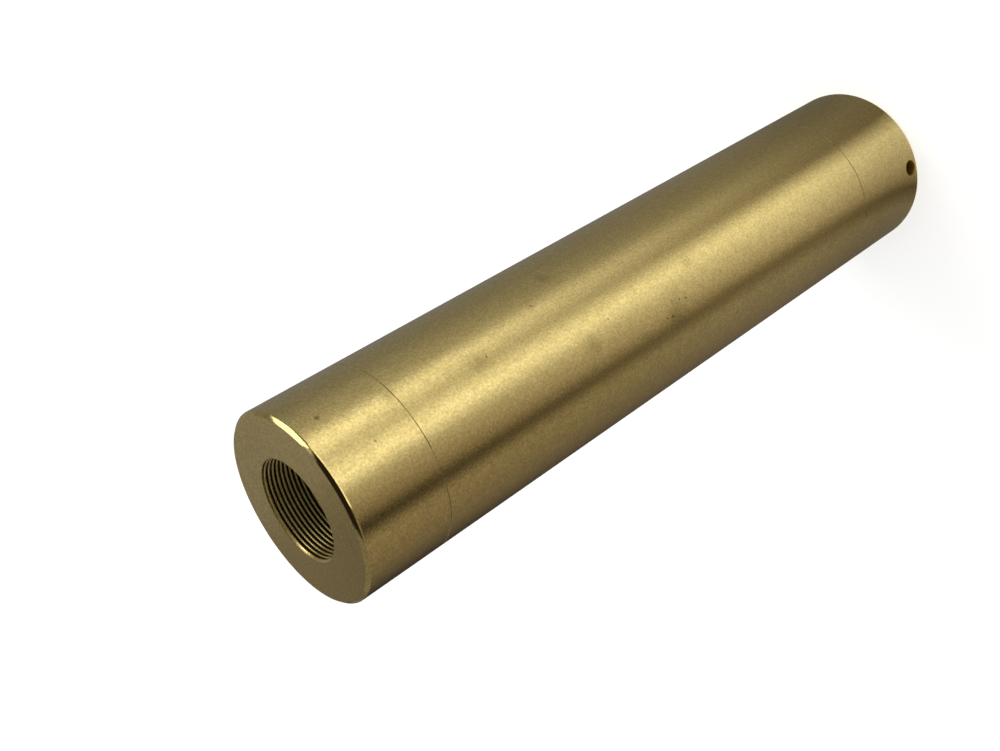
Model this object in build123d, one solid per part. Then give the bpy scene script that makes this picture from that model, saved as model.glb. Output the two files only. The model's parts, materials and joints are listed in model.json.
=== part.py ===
"""Pocket laser pointer: a turned brass body with a tail switch, one cell and a focusing laser module.

Millimetres. The origin is the centre of the tail face, and +Z runs along the axis to the end
that the light leaves. The lanyard hole is on the -Y side.
"""
from build123d import *
from math import atan, cos, degrees, radians, sin, sqrt
import os

# Cell and the brass round it: the body's diameter follows from these
cell_diameter = 16.4
cell_length = 34.0
cell_nub_diameter = 5.4
cell_nub_height = 0.5
cell_edge = 0.5
cell_top_dish = 0.3
cell_top_dish_width = 1.5
cell_gap = 0.3
spigot_wall = 1.25
thread_gap = 0.05
outer_wall = 1.2

# Outside of the body
tail_cap_length = 13.2
front_cap_length = 10.7
rim_chamfer = 0.4
edge_break = 0.12
lanyard_hole_diameter = 1.8
lanyard_hole_height = 1.84

# Screwed joints at both ends of the tube
spigot_length = 6.0
thread_relief = 0.5
lead_chamfer = 0.4
seal_groove_depth = 0.68
seal_groove_width = 1.1
seal_groove_setback = 0.7
seal_slack = 0.02

# Tail button and its recess
recess_diameter = 14.0
recess_margin = 0.3
button_inset = 0.7
button_diameter = 10.0
button_gap = 0.1
button_dish = 0.3
button_dish_rim = 0.9
button_edge = 0.3
button_flange_width = 1.9
button_flange_thickness = 1.0
button_travel = 1.5
web_thickness = 1.6
gasket_thickness = 0.6

# Switch in the tail cap
switch_bore_wall = 1.45
seat_gap = 0.05
spacer_bore_gap = 0.4
switch_width = 8.0
switch_height = 6.0
switch_corner = 0.8
travel_gap = 0.3
plunger_diameter = 3.0
plunger_engagement = 2.5
plunger_gap = 0.1
board_thickness = 1.2
retainer_length = 2.2
retainer_wall = 2.7
spanner_slot_width = 1.5
spanner_slot_depth = 0.9

# Tail spring, pressed to its working height by the cell
tail_spring_height = 5.1
tail_spring_wire = 0.8
tail_spring_base_radius = 4.2
tail_spring_top_radius = 3.0
tail_spring_turns = 2.0

# Driver board behind the laser module
ledge_width = 0.8
ledge_thickness = 1.5
contact_height = 3.8
contact_base_diameter = 6.0
contact_base_thickness = 0.7
contact_tip_diameter = 3.4
inductor_diameter = 4.0
inductor_height = 2.8
inductor_offset = 4.2
chip_width = 4.2
chip_length = 3.4
chip_height = 1.3
chip_offset = 3.6
capacitor_length = 2.6
capacitor_width = 1.4
capacitor_height = 1.2
capacitor_offset_x = 4.2
capacitor_offset_y = 4.0
lead_diameter = 0.6

# Heatsink sleeve and laser module
heatsink_length = 21.5
heatsink_rear_wall = 1.1
heatsink_rear_depth = 4.8
heatsink_edge = 0.3
module_diameter = 12.0
module_length = 20.0
module_edge = 0.3
diode_ring_bore = 7.2
diode_ring_length = 1.6
diode_ring_wall = 1.7
diode_setback = 3.5
diode_flange_diameter = 5.6
diode_flange_thickness = 1.2
diode_can_diameter = 4.2
diode_can_height = 2.3
diode_can_gap = 0.25
diode_pin_diameter = 0.45
diode_pin_circle = 2.0
diode_pin_length = 4.1

# Lens, its spring and the focusing ring
focus_bore = 8.9
lens_spring_height = 6.2
lens_spring_wire = 0.45
lens_spring_turns = 2.5
lens_gap = 0.1
lens_edge_thickness = 1.5
lens_dome_diameter = 6.2
lens_dome_height = 0.9
focus_ring_bore = 6.6
focus_ring_head_gap = 0.7
focus_ring_head_height = 2.8
focus_ring_head_setback = 1.0
focus_ring_flutes = 12
flute_diameter = 1.2
focus_travel_out = 1.5

# Threaded mouth in the front face
mouth_thread_diameter = 12.0
mouth_thread_pitch = 0.5
thread_depth_share = 0.5413
mouth_chamfer = 0.15
nose_gap = 0.6
head_clearance = 0.8

# Radii that follow
cell_radius = cell_diameter / 2
tube_bore_radius = cell_radius + cell_gap
spigot_radius = tube_bore_radius + spigot_wall
socket_radius = spigot_radius + thread_gap
body_radius = socket_radius + outer_wall
groove_radius = spigot_radius - seal_groove_depth
switch_bore_radius = spigot_radius - switch_bore_wall
button_radius = button_diameter / 2
button_hole_radius = button_radius + button_gap
button_flange_radius = button_radius + button_flange_width
switch_seat_radius = switch_bore_radius - seat_gap
tube_seat_radius = tube_bore_radius - seat_gap
module_radius = module_diameter / 2
focus_bore_radius = focus_bore / 2
mouth_radius = mouth_thread_diameter / 2 - thread_depth_share * mouth_thread_pitch
nose_bore_radius = module_radius + nose_gap

# Heights in the tail cap
recess_depth = lanyard_hole_height + lanyard_hole_diameter / 2 + recess_margin
web_top = recess_depth + web_thickness
gasket_top = web_top + gasket_thickness
flange_top = gasket_top + button_flange_thickness
switch_bottom = flange_top + button_travel + travel_gap
switch_top = switch_bottom + switch_height
switch_board_top = switch_top + board_thickness
retainer_top = switch_board_top + retainer_length
groove_bottom = tail_cap_length + seal_groove_setback
groove_top = groove_bottom + seal_groove_width
tail_spigot_end = tail_cap_length + spigot_length

# Heights from the cell to the front
cell_bottom = switch_board_top + tail_spring_height
cell_shoulder = cell_bottom + cell_length
cell_top = cell_shoulder + cell_nub_height
driver_bottom = cell_top + contact_height
driver_top = driver_bottom + board_thickness
heatsink_top = driver_top + heatsink_length
front_spigot_end = heatsink_top + thread_relief
tube_front = front_spigot_end + spigot_length
front_face = tube_front + front_cap_length

# Heights in the laser module
module_bottom = driver_top + heatsink_rear_depth
module_top = module_bottom + module_length
diode_seat = module_bottom + diode_setback
can_shoulder = diode_seat + diode_flange_thickness
can_top = can_shoulder + diode_can_height
spring_seat = can_top + diode_can_gap
lens_bottom = spring_seat + lens_spring_height
lens_shoulder = lens_bottom + lens_edge_thickness
head_bottom = module_top + focus_ring_head_gap
head_top = head_bottom + focus_ring_head_height
mouth_bottom = head_top + focus_travel_out + head_clearance
pin_bottom = diode_seat - diode_pin_length


def turned(*outline):
    """A solid turned about the axis from the (radius, height) points of its half section."""
    return revolve(make_face(Plane.XZ * Polyline(*outline, close=True)), Axis.Z)


def ring(inner_radius, outer_radius, bottom, top):
    """A plain ring, or a disc where the inner radius is zero."""
    return turned((inner_radius, bottom), (outer_radius, bottom), (outer_radius, top), (inner_radius, top))


def upright_box(width, depth, bottom, top, x=0.0, y=0.0):
    """A box that stands between two heights."""
    return Pos(x, y, (bottom + top) / 2) * Box(width, depth, top - bottom)


def cross_slot(radius, bottom, top):
    """The two spanner slots of a screwed ring, as one bar across it."""
    return upright_box(2 * radius + spanner_slot_width, spanner_slot_width, bottom, top)


def coil(bottom, top, bottom_radius, top_radius, wire, turns):
    """A compression spring of square wire with ground ends, cylindrical or conical."""
    height = top - bottom
    flare = degrees(atan((top_radius - bottom_radius) / height))
    path = Helix(height / turns, height, bottom_radius, cone_angle=flare)
    wire_section = Plane(origin=path @ 0, z_dir=path % 0) * Rectangle(wire, wire)
    body = sweep(wire_section, path=path, is_frenet=True)
    reach = 2 * (max(bottom_radius, top_radius) + wire)
    return Pos(0, 0, bottom) * (body & Pos(0, 0, height / 2) * Box(reach, reach, height))


def tail_cap():
    """The tail cap: button recess, web, switch bore and screwed spigot, turned in one piece."""
    body = turned(
        (recess_diameter / 2, 0), (body_radius - rim_chamfer, 0), (body_radius, rim_chamfer),
        (body_radius, tail_cap_length - edge_break), (body_radius - edge_break, tail_cap_length),
        (spigot_radius, tail_cap_length), (spigot_radius, groove_bottom), (groove_radius, groove_bottom),
        (groove_radius, groove_top), (spigot_radius, groove_top),
        (spigot_radius, tail_spigot_end - lead_chamfer), (spigot_radius - lead_chamfer, tail_spigot_end),
        (switch_bore_radius, tail_spigot_end), (switch_bore_radius, web_top),
        (button_hole_radius, web_top), (button_hole_radius, recess_depth),
        (recess_diameter / 2, recess_depth))
    hole = Pos(0, -body_radius, lanyard_hole_height) * Rot(90, 0, 0) * Cylinder(
        lanyard_hole_diameter / 2, body_radius)
    return body - hole


def tail_button():
    """The push button: a dished head that fills the web's hole, under a captive flange."""
    dish_radius = button_radius - button_dish_rim
    return turned(
        (0, button_inset + button_dish), (dish_radius - button_dish, button_inset + button_dish),
        (dish_radius, button_inset), (button_radius - button_edge, button_inset),
        (button_radius, button_inset + button_edge), (button_radius, gasket_top),
        (button_flange_radius, gasket_top), (button_flange_radius, flange_top), (0, flange_top))


def switch_body():
    """The switch's sealed housing, with the bore that its plunger slides in."""
    housing = upright_box(switch_width, switch_width, switch_bottom, switch_top)
    housing = chamfer(housing.edges().filter_by(Axis.Z), switch_corner)
    bore_depth = plunger_engagement + button_travel + travel_gap
    return housing - ring(0, plunger_diameter / 2 + plunger_gap, switch_bottom, switch_bottom + bore_depth)


def switch_retaining_ring():
    """The ring that screws into the spigot's bore and clamps the switch stack."""
    body = ring(switch_seat_radius - retainer_wall, switch_seat_radius, switch_board_top, retainer_top)
    return body - cross_slot(switch_seat_radius, retainer_top - spanner_slot_depth, retainer_top)


def battery_cell():
    """The sealed lithium cell, nub forwards."""
    dish_radius = cell_nub_diameter / 2 + cell_top_dish_width
    return turned(
        (0, cell_bottom), (cell_radius - cell_edge, cell_bottom), (cell_radius, cell_bottom + cell_edge),
        (cell_radius, cell_shoulder - cell_edge), (cell_radius - cell_edge, cell_shoulder),
        (dish_radius, cell_shoulder), (dish_radius, cell_shoulder - cell_top_dish),
        (cell_nub_diameter / 2, cell_shoulder - cell_top_dish), (cell_nub_diameter / 2, cell_top),
        (0, cell_top))


def battery_tube():
    """The long tube: a threaded socket at each end, and a ledge that the driver board seats on."""
    ledge_radius = tube_bore_radius - ledge_width
    return turned(
        (body_radius - edge_break, tail_cap_length), (body_radius, tail_cap_length + edge_break),
        (body_radius, tube_front - edge_break), (body_radius - edge_break, tube_front),
        (socket_radius, tube_front), (socket_radius, heatsink_top), (tube_bore_radius, heatsink_top),
        (tube_bore_radius, driver_bottom), (ledge_radius, driver_bottom),
        (ledge_radius, driver_bottom - ledge_thickness), (tube_bore_radius, driver_bottom - ledge_thickness),
        (tube_bore_radius, tail_spigot_end + thread_relief), (socket_radius, tail_spigot_end + thread_relief),
        (socket_radius, tail_cap_length))


def driver_contact():
    """The contact that the cell's nub presses on."""
    base_bottom = driver_bottom - contact_base_thickness
    return turned(
        (0, cell_top), (contact_tip_diameter / 2, cell_top), (contact_tip_diameter / 2, base_bottom),
        (contact_base_diameter / 2, base_bottom), (contact_base_diameter / 2, driver_bottom),
        (0, driver_bottom))


def driver_capacitors():
    """Two capacitors, one each side of the chip."""
    return Compound([
        upright_box(capacitor_width, capacitor_length, driver_top, driver_top + capacitor_height,
                    side * capacitor_offset_x, -capacitor_offset_y)
        for side in (-1, 1)])


def lead(side):
    """A short sleeved wire that stands on the driver board and meets the end of one diode pin."""
    return Pos(side * diode_pin_circle / 2, 0, 0) * ring(0, lead_diameter / 2, driver_top, pin_bottom)


def heatsink():
    """The sleeve that carries the laser module, bored out behind for the driver's parts."""
    rear_radius = tube_seat_radius - heatsink_rear_wall
    bore_radius = module_radius + seat_gap
    return turned(
        (rear_radius, driver_top), (tube_seat_radius, driver_top),
        (tube_seat_radius, heatsink_top - heatsink_edge), (tube_seat_radius - heatsink_edge, heatsink_top),
        (bore_radius, heatsink_top), (bore_radius, module_bottom + heatsink_edge),
        (module_radius - heatsink_edge, module_bottom + heatsink_edge),
        (module_radius - heatsink_edge, module_bottom), (rear_radius, module_bottom))


def module_body():
    """The laser module's barrel: diode seat, light bore and the fine-threaded focusing bore."""
    ring_radius = diode_ring_bore / 2
    seat_radius = diode_flange_diameter / 2 + seat_gap
    can_radius = diode_can_diameter / 2 + diode_can_gap
    step = module_radius - heatsink_edge - seat_gap
    return turned(
        (ring_radius, module_bottom), (step, module_bottom), (step, module_bottom + heatsink_edge),
        (module_radius, module_bottom + heatsink_edge), (module_radius, module_top - module_edge),
        (module_radius - module_edge, module_top), (focus_bore_radius, module_top),
        (focus_bore_radius, spring_seat), (can_radius, spring_seat), (can_radius, can_shoulder),
        (seat_radius, can_shoulder), (seat_radius, diode_seat), (ring_radius, diode_seat))


def diode_retaining_ring():
    """The ring that screws in behind the diode and holds its flange to the seat."""
    outer = diode_ring_bore / 2 - seat_gap
    bottom = diode_seat - diode_ring_length
    body = ring(outer - diode_ring_wall, outer, bottom, diode_seat)
    return body - cross_slot(outer, bottom, bottom + spanner_slot_depth)


def laser_diode():
    """The sealed diode: flange, can and three pins."""
    body = turned(
        (0, diode_seat), (diode_flange_diameter / 2, diode_seat), (diode_flange_diameter / 2, can_shoulder),
        (diode_can_diameter / 2, can_shoulder), (diode_can_diameter / 2, can_top), (0, can_top))
    for angle in (0, 90, 180):
        x = diode_pin_circle / 2 * cos(radians(angle))
        y = diode_pin_circle / 2 * sin(radians(angle))
        body += Pos(x, y, 0) * ring(0, diode_pin_diameter / 2, pin_bottom, diode_seat)
    return body


def lens():
    """The collimating lens: a flat rear face, a seating edge and a domed front."""
    edge_radius = focus_bore_radius - lens_gap
    dome_radius = lens_dome_diameter / 2
    dome_top = lens_shoulder + lens_dome_height
    sphere_radius = (dome_radius ** 2 + lens_dome_height ** 2) / (2 * lens_dome_height)
    half_way = dome_radius / 2
    middle = (half_way, dome_top - sphere_radius + sqrt(sphere_radius ** 2 - half_way ** 2))
    outline = Polyline((0, dome_top), (0, lens_bottom), (edge_radius, lens_bottom),
                       (edge_radius, lens_shoulder), (dome_radius, lens_shoulder))
    dome = ThreePointArc((dome_radius, lens_shoulder), middle, (0, dome_top))
    return revolve(make_face(Plane.XZ * (outline + dome)), Axis.Z)


def focus_ring():
    """The focusing ring: a screwed sleeve that bears on the lens, under a fluted head."""
    sleeve_radius = focus_bore_radius - thread_gap
    head_radius = module_radius - focus_ring_head_setback
    bore_radius = focus_ring_bore / 2
    body = turned(
        (bore_radius, lens_shoulder), (sleeve_radius, lens_shoulder), (sleeve_radius, head_bottom),
        (head_radius, head_bottom), (head_radius, head_top), (bore_radius, head_top))
    for place in PolarLocations(head_radius, focus_ring_flutes):
        body -= place * ring(0, flute_diameter / 2, head_bottom, head_top)
    return body - cross_slot(head_radius, head_top - spanner_slot_depth, head_top)


def front_cap():
    """The front cap: a flat face with a finely threaded mouth, over a bore that clears the module."""
    return turned(
        (mouth_radius, front_face - mouth_chamfer), (mouth_radius + mouth_chamfer, front_face),
        (body_radius - rim_chamfer, front_face), (body_radius, front_face - rim_chamfer),
        (body_radius, tube_front + edge_break), (body_radius - edge_break, tube_front),
        (spigot_radius, tube_front), (spigot_radius, front_spigot_end + lead_chamfer),
        (spigot_radius - lead_chamfer, front_spigot_end), (nose_bore_radius, front_spigot_end),
        (nose_bore_radius, mouth_bottom), (mouth_radius, mouth_bottom))


parts = {
    "tail_cap": tail_cap(),
    "tail_seal": ring(groove_radius + seal_slack, spigot_radius + seal_slack,
                      groove_bottom + seal_slack, groove_top - seal_slack),
    "tail_button": tail_button(),
    "button_gasket": ring(button_hole_radius, switch_seat_radius, web_top, gasket_top),
    "switch_plunger": ring(0, plunger_diameter / 2, flange_top, switch_bottom + plunger_engagement),
    "switch_spacer": ring(button_flange_radius + spacer_bore_gap, switch_seat_radius, gasket_top, switch_top),
    "switch_body": switch_body(),
    "switch_board": ring(0, switch_seat_radius, switch_top, switch_board_top),
    "switch_retaining_ring": switch_retaining_ring(),
    "tail_spring": coil(switch_board_top, cell_bottom, tail_spring_base_radius, tail_spring_top_radius,
                        tail_spring_wire, tail_spring_turns),
    "battery_cell": battery_cell(),
    "battery_tube": battery_tube(),
    "driver_contact": driver_contact(),
    "driver_board": ring(0, tube_seat_radius, driver_bottom, driver_top),
    "driver_inductor": Pos(0, inductor_offset, 0) * ring(
        0, inductor_diameter / 2, driver_top, driver_top + inductor_height),
    "driver_chip": upright_box(
        chip_width, chip_length, driver_top, driver_top + chip_height, 0, -chip_offset),
    "driver_capacitors": driver_capacitors(),
    "lead_red": lead(1),
    "lead_black": lead(-1),
    "heatsink": heatsink(),
    "module_body": module_body(),
    "diode_retaining_ring": diode_retaining_ring(),
    "laser_diode": laser_diode(),
    "lens_spring": coil(spring_seat, lens_bottom, focus_bore_radius - lens_spring_wire,
                        focus_bore_radius - lens_spring_wire, lens_spring_wire, lens_spring_turns),
    "lens": lens(),
    "focus_ring": focus_ring(),
    "front_cap": front_cap(),
}

os.makedirs("parts", exist_ok=True)
for node, shape in parts.items():
    export_step(shape, f"parts/{node}.step")
print(f"body diameter {2 * body_radius:.2f}, length {front_face:.2f}, tube front {tube_front:.2f}")
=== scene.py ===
"""Pocket laser pointer: turned, threaded and finished pieces on its packed CAD frame.

Sizes are in metres. +Z runs along the body to the end that the light leaves, and the lanyard
hole is on the -Y side. The pointer stands on its tail.
"""
import json
from math import ceil, cos, pi, radians, sin, sqrt, tan, tau

import bpy
from bpy.props import FloatProperty, FloatVectorProperty, IntProperty, PointerProperty
from mathutils import Matrix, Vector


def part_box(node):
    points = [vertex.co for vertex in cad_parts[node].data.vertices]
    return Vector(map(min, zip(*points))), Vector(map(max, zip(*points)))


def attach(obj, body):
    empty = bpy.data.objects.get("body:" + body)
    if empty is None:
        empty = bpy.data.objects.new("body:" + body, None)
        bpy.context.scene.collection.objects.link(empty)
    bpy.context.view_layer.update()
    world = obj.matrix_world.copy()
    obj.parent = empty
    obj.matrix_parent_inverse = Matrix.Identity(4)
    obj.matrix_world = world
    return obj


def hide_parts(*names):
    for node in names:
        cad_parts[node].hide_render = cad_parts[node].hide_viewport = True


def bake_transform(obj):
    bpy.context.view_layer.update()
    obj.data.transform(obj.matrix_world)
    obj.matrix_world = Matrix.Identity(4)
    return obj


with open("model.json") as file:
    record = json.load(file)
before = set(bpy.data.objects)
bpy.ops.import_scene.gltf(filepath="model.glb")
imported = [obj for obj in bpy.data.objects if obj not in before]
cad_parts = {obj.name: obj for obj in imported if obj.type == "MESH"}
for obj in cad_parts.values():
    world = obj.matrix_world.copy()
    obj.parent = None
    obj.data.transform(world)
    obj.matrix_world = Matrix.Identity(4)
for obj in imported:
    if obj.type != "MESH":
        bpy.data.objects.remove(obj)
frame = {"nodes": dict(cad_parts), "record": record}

bl_info = {
    "name": "Pocket Laser Pointer",
    "version": (1, 0, 0),
    "blender": (4, 5, 0),
    "location": "3D View > Sidebar > Pointer",
    "description": "Models and finishes a turned brass laser pointer, piece by piece",
    "category": "Add Mesh",
}

MM = 0.001
TOUCH = 1e-7
SHARP_ANGLE = radians(28)
THREAD_HALF_ANGLE = radians(30)
THREAD_HALF_OPENING = 0.375  # at its crests, as a share of its pitch
TOOL_OVERLAP = 0.04 * MM

CAP_LOW, CAP_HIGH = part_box("front_cap")
TUBE_LOW, TUBE_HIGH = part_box("battery_tube")
TAIL_LOW, TAIL_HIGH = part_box("tail_cap")
SEAL_LOW, SEAL_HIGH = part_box("tail_seal")
BUTTON_LOW, BUTTON_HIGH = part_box("tail_button")
CELL_LOW, CELL_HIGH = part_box("battery_cell")
TAIL_SPRING_LOW, TAIL_SPRING_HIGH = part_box("tail_spring")
LENS_SPRING_LOW, LENS_SPRING_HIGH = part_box("lens_spring")
LENS_LOW, LENS_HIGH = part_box("lens")
RING_LOW, RING_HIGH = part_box("focus_ring")
DIODE_LOW, DIODE_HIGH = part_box("laser_diode")
BOARD_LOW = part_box("driver_board")[0]
HEATSINK_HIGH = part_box("heatsink")[1]


def length(name, description, millimetres):
    """A length that the sidebar shows, with its default in millimetres."""
    return FloatProperty(name=name, description=description, default=millimetres * MM,
                         min=0.0, precision=5, unit="LENGTH")


def direction(name, description, degrees):
    """An angle that the sidebar shows, with its default in degrees."""
    return FloatProperty(name=name, description=description, default=radians(degrees), subtype="ANGLE")


def tint(name, description, colour):
    """A colour that the sidebar shows."""
    return FloatVectorProperty(name=name, description=description, default=colour,
                               size=3, min=0.0, max=1.0, subtype="COLOR")


def share(name, description, value):
    """A value from nothing to all that the sidebar shows."""
    return FloatProperty(name=name, description=description, default=value,
                         min=0.0, max=1.0, subtype="FACTOR")


class PointerBody(bpy.types.PropertyGroup):
    """Sizes of the turned brass body that the frame's boxes don't give"""

    lathe_steps: IntProperty(name="Lathe steps", description="Facets round the body", default=224, min=32)
    rim_chamfer: length("Rim chamfer", "Chamfer round the two ends", 0.4)
    seam_break: length("Seam break", "Edge break where two pieces of the body meet", 0.03)
    edge_softness: length("Edge softness", "Rounding left on every turned edge", 0.03)
    rim_rounding: length("Rim rounding", "Rounding between the front rim chamfer and the wall", 0.3)
    spigot_radius: length("Spigot radius", "Radius of the screwed spigots", 9.75)
    socket_radius: length("Socket radius", "Radius of the screwed sockets", 9.8)
    lead_chamfer: length("Lead chamfer", "Chamfer at the end of a spigot", 0.4)
    bore_radius: length("Tube bore radius", "Radius of the bore that holds the cell", 8.5)
    ledge_width: length("Ledge width", "Width of the ledge that the driver seats on", 0.8)
    ledge_thickness: length("Ledge thickness", "Thickness of that ledge", 1.5)
    socket_relief: length("Socket relief", "Room past the end of the tail spigot", 0.5)
    nose_radius: length("Nose bore radius", "Radius of the bore that clears the module", 6.6)
    mouth_radius: length("Mouth radius", "Minor radius of the threaded mouth", 5.72935)
    mouth_length: length("Mouth length", "Length of the threaded mouth", 8.1)
    mouth_chamfer: length("Mouth chamfer", "Chamfer at the edge of the mouth", 0.15)
    groove_radius: length("Groove radius", "Radius of the seal groove's floor", 9.07)
    groove_clearance: length("Groove clearance", "Room between the seal and its groove", 0.02)
    recess_radius: length("Recess radius", "Radius of the recess round the button", 7.0)
    recess_depth: length("Recess depth", "Depth of that recess", 3.04)
    web_thickness: length("Web thickness", "Thickness of the web that holds the button", 1.6)
    button_hole_radius: length("Button hole radius", "Radius of the hole in the web", 5.1)
    switch_bore_radius: length("Switch bore radius", "Radius of the bore that holds the switch", 8.3)
    hole_radius: length("Lanyard hole radius", "Radius of the cross hole", 0.9)
    hole_height: length("Lanyard hole height", "Height of the cross hole", 1.84)
    hole_flare: length("Lanyard hole flare", "Edge break of the cross hole", 0.15)


class PointerThreads(bpy.types.PropertyGroup):
    """Pitch and form of the screw threads"""

    steps: IntProperty(name="Steps", description="Facets in one turn of a thread", default=112, min=24)
    mouth_pitch: length("Mouth pitch", "Pitch of the thread in the mouth", 0.5)
    joint_pitch: length("Joint pitch", "Pitch of the threads that join the body", 0.75)
    focus_pitch: length("Focus pitch", "Pitch of the focusing thread", 0.5)
    depth_ratio: FloatProperty(name="Depth ratio", description="Depth of a thread as a share of its pitch",
                               default=0.54, min=0.1, max=0.8)
    crest_break: length("Crest break", "Edge break along the crest of a thread", 0.02)
    mouth_exit: direction("Mouth exit", "Direction in which the mouth's thread runs out", 165)


class PointerInside(bpy.types.PropertyGroup):
    """Sizes of the inner pieces that the frame's boxes don't give"""

    flange_thickness: length("Flange thickness", "Thickness of the button's flange", 1.0)
    button_radius: length("Button radius", "Radius of the button's head", 5.0)
    button_dish: length("Button dish", "Depth of the dish in the button", 0.3)
    button_rim: length("Button rim", "Width of the rim round that dish", 0.9)
    button_edge: length("Button edge", "Chamfer of the button's head", 0.3)
    sleeve_thickness: length("Sleeve thickness", "Thickness of the cell's shrunk sleeve", 0.1)
    sleeve_lap: length("Sleeve lap", "How far the sleeve laps over the cell's ends", 1.4)
    cell_edge: length("Cell edge", "Rounding of the cell's edges", 0.5)
    nub_radius: length("Nub radius", "Radius of the cell's nub", 2.7)
    nub_height: length("Nub height", "Height of the cell's nub", 0.5)
    top_dish: length("Top dish", "Depth of the dish round the nub", 0.3)
    washer_gap: length("Washer gap", "Room between the nub and the paper washer", 0.4)
    tail_wire: length("Tail spring wire", "Diameter of the tail spring's wire", 0.8)
    tail_spring_base: length("Tail spring base", "Radius of the tail spring's wire at its base", 4.2)
    tail_spring_top: length("Tail spring top", "Radius of the tail spring's wire at its top", 3.0)
    lens_wire: length("Lens spring wire", "Diameter of the lens spring's wire", 0.45)
    focus_sleeve_radius: length("Focus sleeve radius", "Radius of the focusing ring's screwed sleeve", 4.4)
    focus_bore_radius: length("Focus bore radius", "Radius of the focusing ring's bore", 3.3)
    focus_head_height: length("Focus head height", "Height of the focusing ring's head", 2.8)
    focus_edge: length("Focus edge", "Chamfer of the focusing ring's edges", 0.15)
    flutes: IntProperty(name="Flutes", description="Flutes round the focusing ring's head", default=12, min=3)
    flute_radius: length("Flute radius", "Radius of a flute", 0.6)
    slot_width: length("Slot width", "Width of the spanner slots", 1.5)
    slot_depth: length("Slot depth", "Depth of the spanner slots", 0.9)
    lens_edge: length("Lens edge", "Thickness of the lens at its seating edge", 1.5)
    lens_aperture: length("Lens aperture", "Radius of the lens's dome", 3.1)
    can_radius: length("Can radius", "Radius of the diode's can", 2.1)
    can_height: length("Can height", "Height of the diode's can", 2.3)
    can_corner: length("Can corner", "Rounding of the can's top edge", 0.25)
    flange_height: length("Diode flange", "Thickness of the diode's flange", 1.2)
    window_radius: length("Window radius", "Radius of the diode's window", 0.8)
    window_depth: length("Window depth", "How far the window is set back", 0.15)
    window_thickness: length("Window thickness", "Thickness of the window's pane", 0.05)
    pin_radius: length("Pin radius", "Radius of a diode pin", 0.225)
    pin_circle: length("Pin circle", "Radius of the circle of pins", 1.0)


class PointerFinish(bpy.types.PropertyGroup):
    """Colours and surfaces of the pieces"""

    brass: tint("Brass", "Colour of the turned brass", (1.0, 0.803, 0.335))
    tarnish: tint("Tarnish", "Colour of the brass where it has been handled", (0.66, 0.50, 0.165))
    brass_roughness: share("Brass roughness", "Roughness of the satin body", 0.22)
    brass_stretch: share("Brass stretch", "How far the turning marks stretch a highlight", 0.7)
    marks_spacing: length("Marks spacing", "Distance between turning marks", 0.13)
    marks_length: length("Marks length", "Length of a turning mark before it fades", 0.42)
    marks_depth: length("Marks depth", "Depth of the turning marks", 0.02)
    patch_size: length("Patch size", "Size of the brass's faint patches", 1.0)
    grain_size: length("Grain size", "Size of the brass's fine speckle", 0.26)
    grain_strength: share("Grain strength", "Depth of that speckle's tone", 0.46)
    smudge_strength: share("Smudge strength", "How dark the middle of a smudge is", 0.42)
    nick_strength: share("Nick strength", "How dark the middle of a nick is", 0.85)
    # Dirt in the seams, and painted shade in the thread roots and the cross hole: near black, non-metallic and
    # rough
    grime: tint("Grime and shade", "Colour of the dirt in thread roots and seams", (0.012, 0.007, 0.002))
    # Dirt and painted shade: how dark the crests nearest the mouth are; deeper crests are painted darker still
    crest_dirt_and_shade: share("Crest dirt", "How dark the first crests of the mouth's thread are", 0.2)
    seam_grime: length("Seam grime", "How far the dirt spreads from a seam", 0.07)
    seam_strength: share("Seam strength", "How dark that dirt is", 0.9)
    # Painted shade: how dull the cross hole's wall is made, and the dark brown it is painted
    hole_shade_strength: share("Hole strength", "How dull the dirt in the cross hole is", 0.82)
    hole_shade_colour: tint("Hole painted shade", "Colour of the dirt in the cross hole", (0.13, 0.06, 0.006))
    rim_polish: share("Rim polish", "How far the two rim chamfers are smoother than the body", 0.6)
    rubber: tint("Rubber", "Colour of the seals", (0.022, 0.022, 0.024))
    board: tint("Board", "Colour of the circuit boards", (0.025, 0.17, 0.075))
    sleeve: tint("Sleeve", "Colour of the cell's sleeve", (0.16, 0.20, 0.25))
    aluminium: tint("Aluminium", "Colour of the heatsink", (0.80, 0.81, 0.82))
    steel: tint("Steel", "Colour of the spring wire", (0.62, 0.61, 0.60))
    gold: tint("Gold", "Colour of the diode's plating", (0.88, 0.70, 0.36))


class PointerStage(bpy.types.PropertyGroup):
    """Camera, light and floor"""

    camera_azimuth: direction("Azimuth", "Turn of the camera round the body, from -Y", 23.906)
    camera_distance: length("Distance", "Distance of the camera from the body's axis", 112.357)
    camera_height: length("Height", "Height of the camera above the floor", 142.497)
    camera_heading: direction("Heading", "Direction that the camera looks, from +Y", 23.472)
    camera_pitch: direction("Pitch", "How far the camera looks down", 32.937)
    camera_roll: direction("Roll", "Turn of the camera about its own axis", -121.616)
    lens: FloatProperty(name="Lens", description="Focal length in millimetres", default=42.892, min=1.0)
    fill: FloatProperty(name="Fill", description="Strength of the plain light from all round",
                        default=0.8, min=0.0)
    key: FloatProperty(name="Key", description="Power of the softbox", default=1.7, min=0.0, unit="POWER")


# Operators of Blender, put together as a turner would use them

def pick(piece):
    """Makes one object the only one selected."""
    bpy.ops.object.select_all(action="DESELECT")
    piece.select_set(True)
    bpy.context.view_layer.objects.active = piece


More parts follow.
